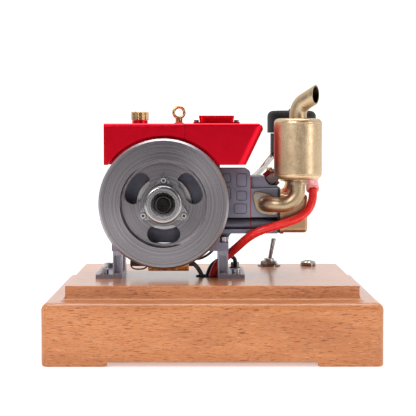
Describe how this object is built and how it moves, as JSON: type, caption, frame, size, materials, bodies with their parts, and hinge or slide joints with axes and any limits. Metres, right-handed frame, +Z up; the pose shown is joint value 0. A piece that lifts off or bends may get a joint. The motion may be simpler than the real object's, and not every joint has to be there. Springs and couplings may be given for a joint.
{
  "type": "miniature four-stroke engine",
  "caption": "Working-model single-cylinder horizontal petrol engine with flywheel, red tanks, brass muffler, air filter and ignition lead, bolted on a hollow stepped wooden base.",
  "frame": {"origin": "middle of the base's underside, on the surface it stands on", "axes": "+X along the cylinder toward the head, +Y from the flywheel side to the rear, +Z up"},
  "size_m": [0.161, 0.125, 0.133],
  "materials": {
    "beech": "satin varnish",
    "fibreboard": "matt",
    "black_rubber": "matt",
    "grey_metal": "satin dark grey",
    "foot_metal": "dark grey anodised",
    "turned_steel": "turned",
    "screw_steel": "bright",
    "black_steel": "blackened",
    "hub_steel": "turned",
    "red_anodised": "red anodised, glossy",
    "brass": "polished",
    "muffler_brass": "blasted satin",
    "copper_red": "matt",
    "gasket_black": "matt",
    "inner_steel": "machined",
    "inner_aluminium": "machined",
    "ceramic": "glazed",
    "boot_silicone": "translucent",
    "red_silicone": "satin",
    "grey_sleeve": "matt",
    "black_sleeve": "matt",
    "clear_hose": "translucent",
    "filter_black": "satin",
    "coil_tape": "glossy tape",
    "laminations": "varnished",
    "chrome_trim": "bright",
    "led_glass": "clear dome",
    "switch_case": "moulded with a plated bushing"
  },
  "bodies": {
    "stand": {"wooden_base": "beech", "bottom_cover": "fibreboard", "cable_grommet": "black_rubber", "switch_body": "switch_case", "switch_nut": "chrome_trim", "led_bezel": "chrome_trim", "led_lens": "led_glass", "left_foot": "foot_metal", "right_foot": "foot_metal", "mount_screws": "screw_steel", "small_screws": "screw_steel", "crankcase": "grey_metal", "front_bearing_cover": "inner_steel", "main_bearings": "inner_steel", "rear_cover": "grey_metal", "cylinder_liner": "inner_steel", "cylinder_block": "grey_metal", "head_gasket": "copper_red", "cylinder_head": "grey_metal", "rocker_gasket": "gasket_black", "rocker_cover": "brass", "rocker_stand": "inner_steel", "spark_plug_shell": "chrome_trim", "spark_plug_insulator": "ceramic", "plug_boot": "boot_silicone", "exhaust_elbow": "muffler_brass", "muffler": "muffler_brass", "muffler_outlet": "muffler_brass", "intake_elbow": "brass", "carburettor": "brass", "air_filter": "filter_black", "fuel_tank": "red_anodised", "eye_bolt": "brass", "water_hopper": "red_anodised", "filler_neck": "red_anodised", "coil_core": "laminations", "coil_winding": "coil_tape", "ht_lead": "red_silicone", "coil_lead": "grey_sleeve", "ground_lead": "black_sleeve", "ground_terminal": "chrome_trim", "breather_hose": "clear_hose"},
    "crank": {"crankshaft": "inner_steel", "flywheel": "turned_steel", "starter_hub": "hub_steel", "hub_screws": "black_steel"},
    "cam": {"camshaft": "inner_steel"},
    "piston": {"piston": "inner_aluminium"},
    "rod": {"connecting_rod": "inner_aluminium"},
    "exhaust_rocker": {"exhaust_rocker": "inner_steel"},
    "intake_rocker": {"intake_rocker": "inner_steel"},
    "exhaust_valve": {"exhaust_valve": "inner_steel"},
    "intake_valve": {"intake_valve": "inner_steel"},
    "exhaust_pushrod": {"exhaust_pushrod": "inner_steel"},
    "intake_pushrod": {"intake_pushrod": "inner_steel"},
    "switch_lever": {"switch_lever": "chrome_trim"},
    "throttle": {"throttle_lever": "brass"},
    "needle": {"mixture_needle": "brass"},
    "fuel_cap": {"fuel_cap": "brass"},
    "filter_cap": {"air_filter_cap": "filter_black"}
  },
  "joints": [
    {"name": "crank_spin", "type": "hinge", "parent": "stand", "child": "crank", "pos_m": [-0.0237, 0, 0.075], "axis": [0, 1, 0], "continuous": true},
    {"name": "cam_spin", "type": "hinge", "parent": "stand", "child": "cam", "pos_m": [-0.0166, 0, 0.06536], "axis": [0, 1, 0], "continuous": true},
    {"name": "piston_slide", "type": "slide", "parent": "stand", "child": "piston", "axis": [-1, 0, 0], "range_m": [0, 0.013]},
    {"name": "rod_swing", "type": "hinge", "parent": "piston", "child": "rod", "pos_m": [0.0128, -0.003, 0.075], "axis": [0, 1, 0], "range_deg": [-6, 6]},
    {"name": "exhaust_rocker_tilt", "type": "hinge", "parent": "stand", "child": "exhaust_rocker", "pos_m": [0.0386, 0, 0.0696], "axis": [0, -1, 0], "range_deg": [0, 14]},
    {"name": "exhaust_valve_lift", "type": "slide", "parent": "stand", "child": "exhaust_valve", "axis": [-1, 0, 0], "range_m": [0, 0.0014], "stiffness_N_per_m": 4, "springref_m": -0.001},
    {"name": "exhaust_pushrod_lift", "type": "slide", "parent": "stand", "child": "exhaust_pushrod", "axis": [1, 0, 0], "range_m": [0, 0.00123]},
    {"name": "intake_rocker_tilt", "type": "hinge", "parent": "stand", "child": "intake_rocker", "pos_m": [0.0386, 0, 0.0696], "axis": [0, -1, 0], "range_deg": [0, 14]},
    {"name": "intake_valve_lift", "type": "slide", "parent": "stand", "child": "intake_valve", "axis": [-1, 0, 0], "range_m": [0, 0.0014], "stiffness_N_per_m": 4, "springref_m": -0.001},
    {"name": "intake_pushrod_lift", "type": "slide", "parent": "stand", "child": "intake_pushrod", "axis": [1, 0, 0], "range_m": [0, 0.00123]},
    {"name": "switch_flip", "type": "hinge", "parent": "stand", "child": "switch_lever", "pos_m": [0.0318, 0.0402, 0.0389], "axis": [0, -1, 0], "range_deg": [0, 22]},
    {"name": "throttle_turn", "type": "hinge", "parent": "stand", "child": "throttle", "pos_m": [0.0478, 0.018, 0.0895], "axis": [0, 1, 0], "range_deg": [0, 70]},
    {"name": "needle_turn", "type": "hinge", "parent": "stand", "child": "needle", "pos_m": [0.033, 0.025, 0.0895], "axis": [1, 0, 0], "continuous": true},
    {"name": "fuel_cap_lift", "type": "slide", "parent": "stand", "child": "fuel_cap", "axis": [0, 0, 1], "range_m": [0, 0.015]},
    {"name": "filter_cap_lift", "type": "slide", "parent": "stand", "child": "filter_cap", "axis": [0, 0, 1], "range_m": [0, 0.02]}
  ],
  "couplings": [
    {"joint": "cam_spin", "follows": "crank_spin", "ratio": -0.5},
    {"joint": "exhaust_rocker_tilt", "follows": "exhaust_valve_lift", "rad_per_m": 174.53},
    {"joint": "exhaust_pushrod_lift", "follows": "exhaust_valve_lift", "ratio": 0.87857},
    {"joint": "intake_rocker_tilt", "follows": "intake_valve_lift", "rad_per_m": 174.53},
    {"joint": "intake_pushrod_lift", "follows": "intake_valve_lift", "ratio": 0.87857}
  ]
}
